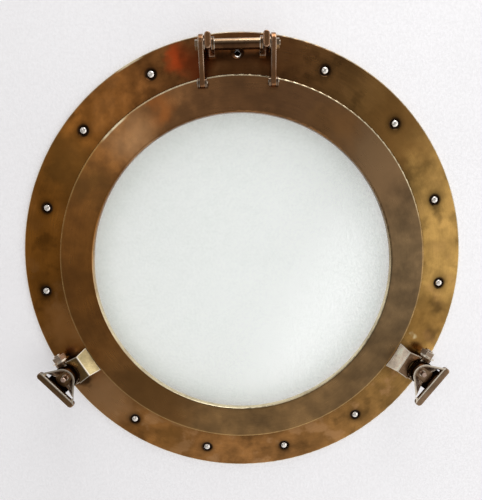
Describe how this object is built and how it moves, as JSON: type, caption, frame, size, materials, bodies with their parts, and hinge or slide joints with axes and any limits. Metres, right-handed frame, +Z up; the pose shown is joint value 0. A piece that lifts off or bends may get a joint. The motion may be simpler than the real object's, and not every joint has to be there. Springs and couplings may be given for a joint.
{
  "type": "porthole",
  "caption": "Round brass porthole window: screwed wall ring, top-hinged glazed sash and swing-bolt dogs with stirrup nuts.",
  "frame": {"origin": "centre of the wall ring on the wall plane", "axes": "-Y out of the wall towards the viewer, +Z up to the hinge, +X to the viewer's right; +Y goes into the wall"},
  "size_m": [0.4319, 0.0545, 0.432],
  "materials": {
    "frame_brass": "aged, brown patina, satin",
    "sash_brass": "aged, brown patina, satin",
    "worn_brass": "aged, edges worn bright",
    "bright_fixings": "nickel plate, worn",
    "glass": "clear",
    "rubber": "matt"
  },
  "bodies": {
    "frame": {"outer_ring": "frame_brass", "frame_seal": "rubber", "wall_screws": "bright_fixings", "left_hinge_lug": "frame_brass", "right_hinge_lug": "frame_brass", "hinge_tube": "frame_brass", "hinge_collars": "frame_brass", "hinge_washers": "bright_fixings", "hinge_bolt": "bright_fixings", "hinge_nut": "bright_fixings", "left_dog_ears": "frame_brass", "left_pivot_bolt": "bright_fixings", "left_pivot_washer": "bright_fixings", "left_pivot_nut": "bright_fixings", "right_dog_ears": "frame_brass", "right_pivot_bolt": "bright_fixings", "right_pivot_washer": "bright_fixings", "right_pivot_nut": "bright_fixings"},
    "sash": {"sash_ring": "sash_brass", "glazing_gasket": "rubber", "glass_pane": "glass", "retaining_ring": "sash_brass", "retaining_screws": "bright_fixings", "left_hinge_arm": "sash_brass", "right_hinge_arm": "sash_brass", "arm_cheeks": "worn_brass", "arm_rivets": "worn_brass", "left_clamp_lug": "sash_brass", "right_clamp_lug": "sash_brass"},
    "left_swing": {"left_swing_bolt": "worn_brass"},
    "left_nut": {"left_stirrup_nut": "worn_brass"},
    "right_swing": {"right_swing_bolt": "worn_brass"},
    "right_nut": {"right_stirrup_nut": "worn_brass"}
  },
  "joints": [
    {"name": "sash_hinge", "type": "hinge", "parent": "frame", "child": "sash", "pos_m": [0, -0.017, 0.201], "axis": [-1, 0, 0], "range_deg": [0, 165]},
    {"name": "left_dog_swing", "type": "hinge", "parent": "frame", "child": "left_swing", "pos_m": [-0.1762, -0.01602, -0.10379], "axis": [0.5075, 0, -0.8616], "range_deg": [0, 76]},
    {"name": "left_nut_turn", "type": "hinge", "parent": "left_swing", "child": "left_nut", "pos_m": [-0.1762, -0.03, -0.10379], "axis": [0, -1, 0], "continuous": true},
    {"name": "right_dog_swing", "type": "hinge", "parent": "frame", "child": "right_swing", "pos_m": [0.17492, -0.01602, -0.10594], "axis": [0.518, 0, 0.8554], "range_deg": [0, 76]},
    {"name": "right_nut_turn", "type": "hinge", "parent": "right_swing", "child": "right_nut", "pos_m": [0.17492, -0.03, -0.10594], "axis": [0, -1, 0], "continuous": true}
  ]
}
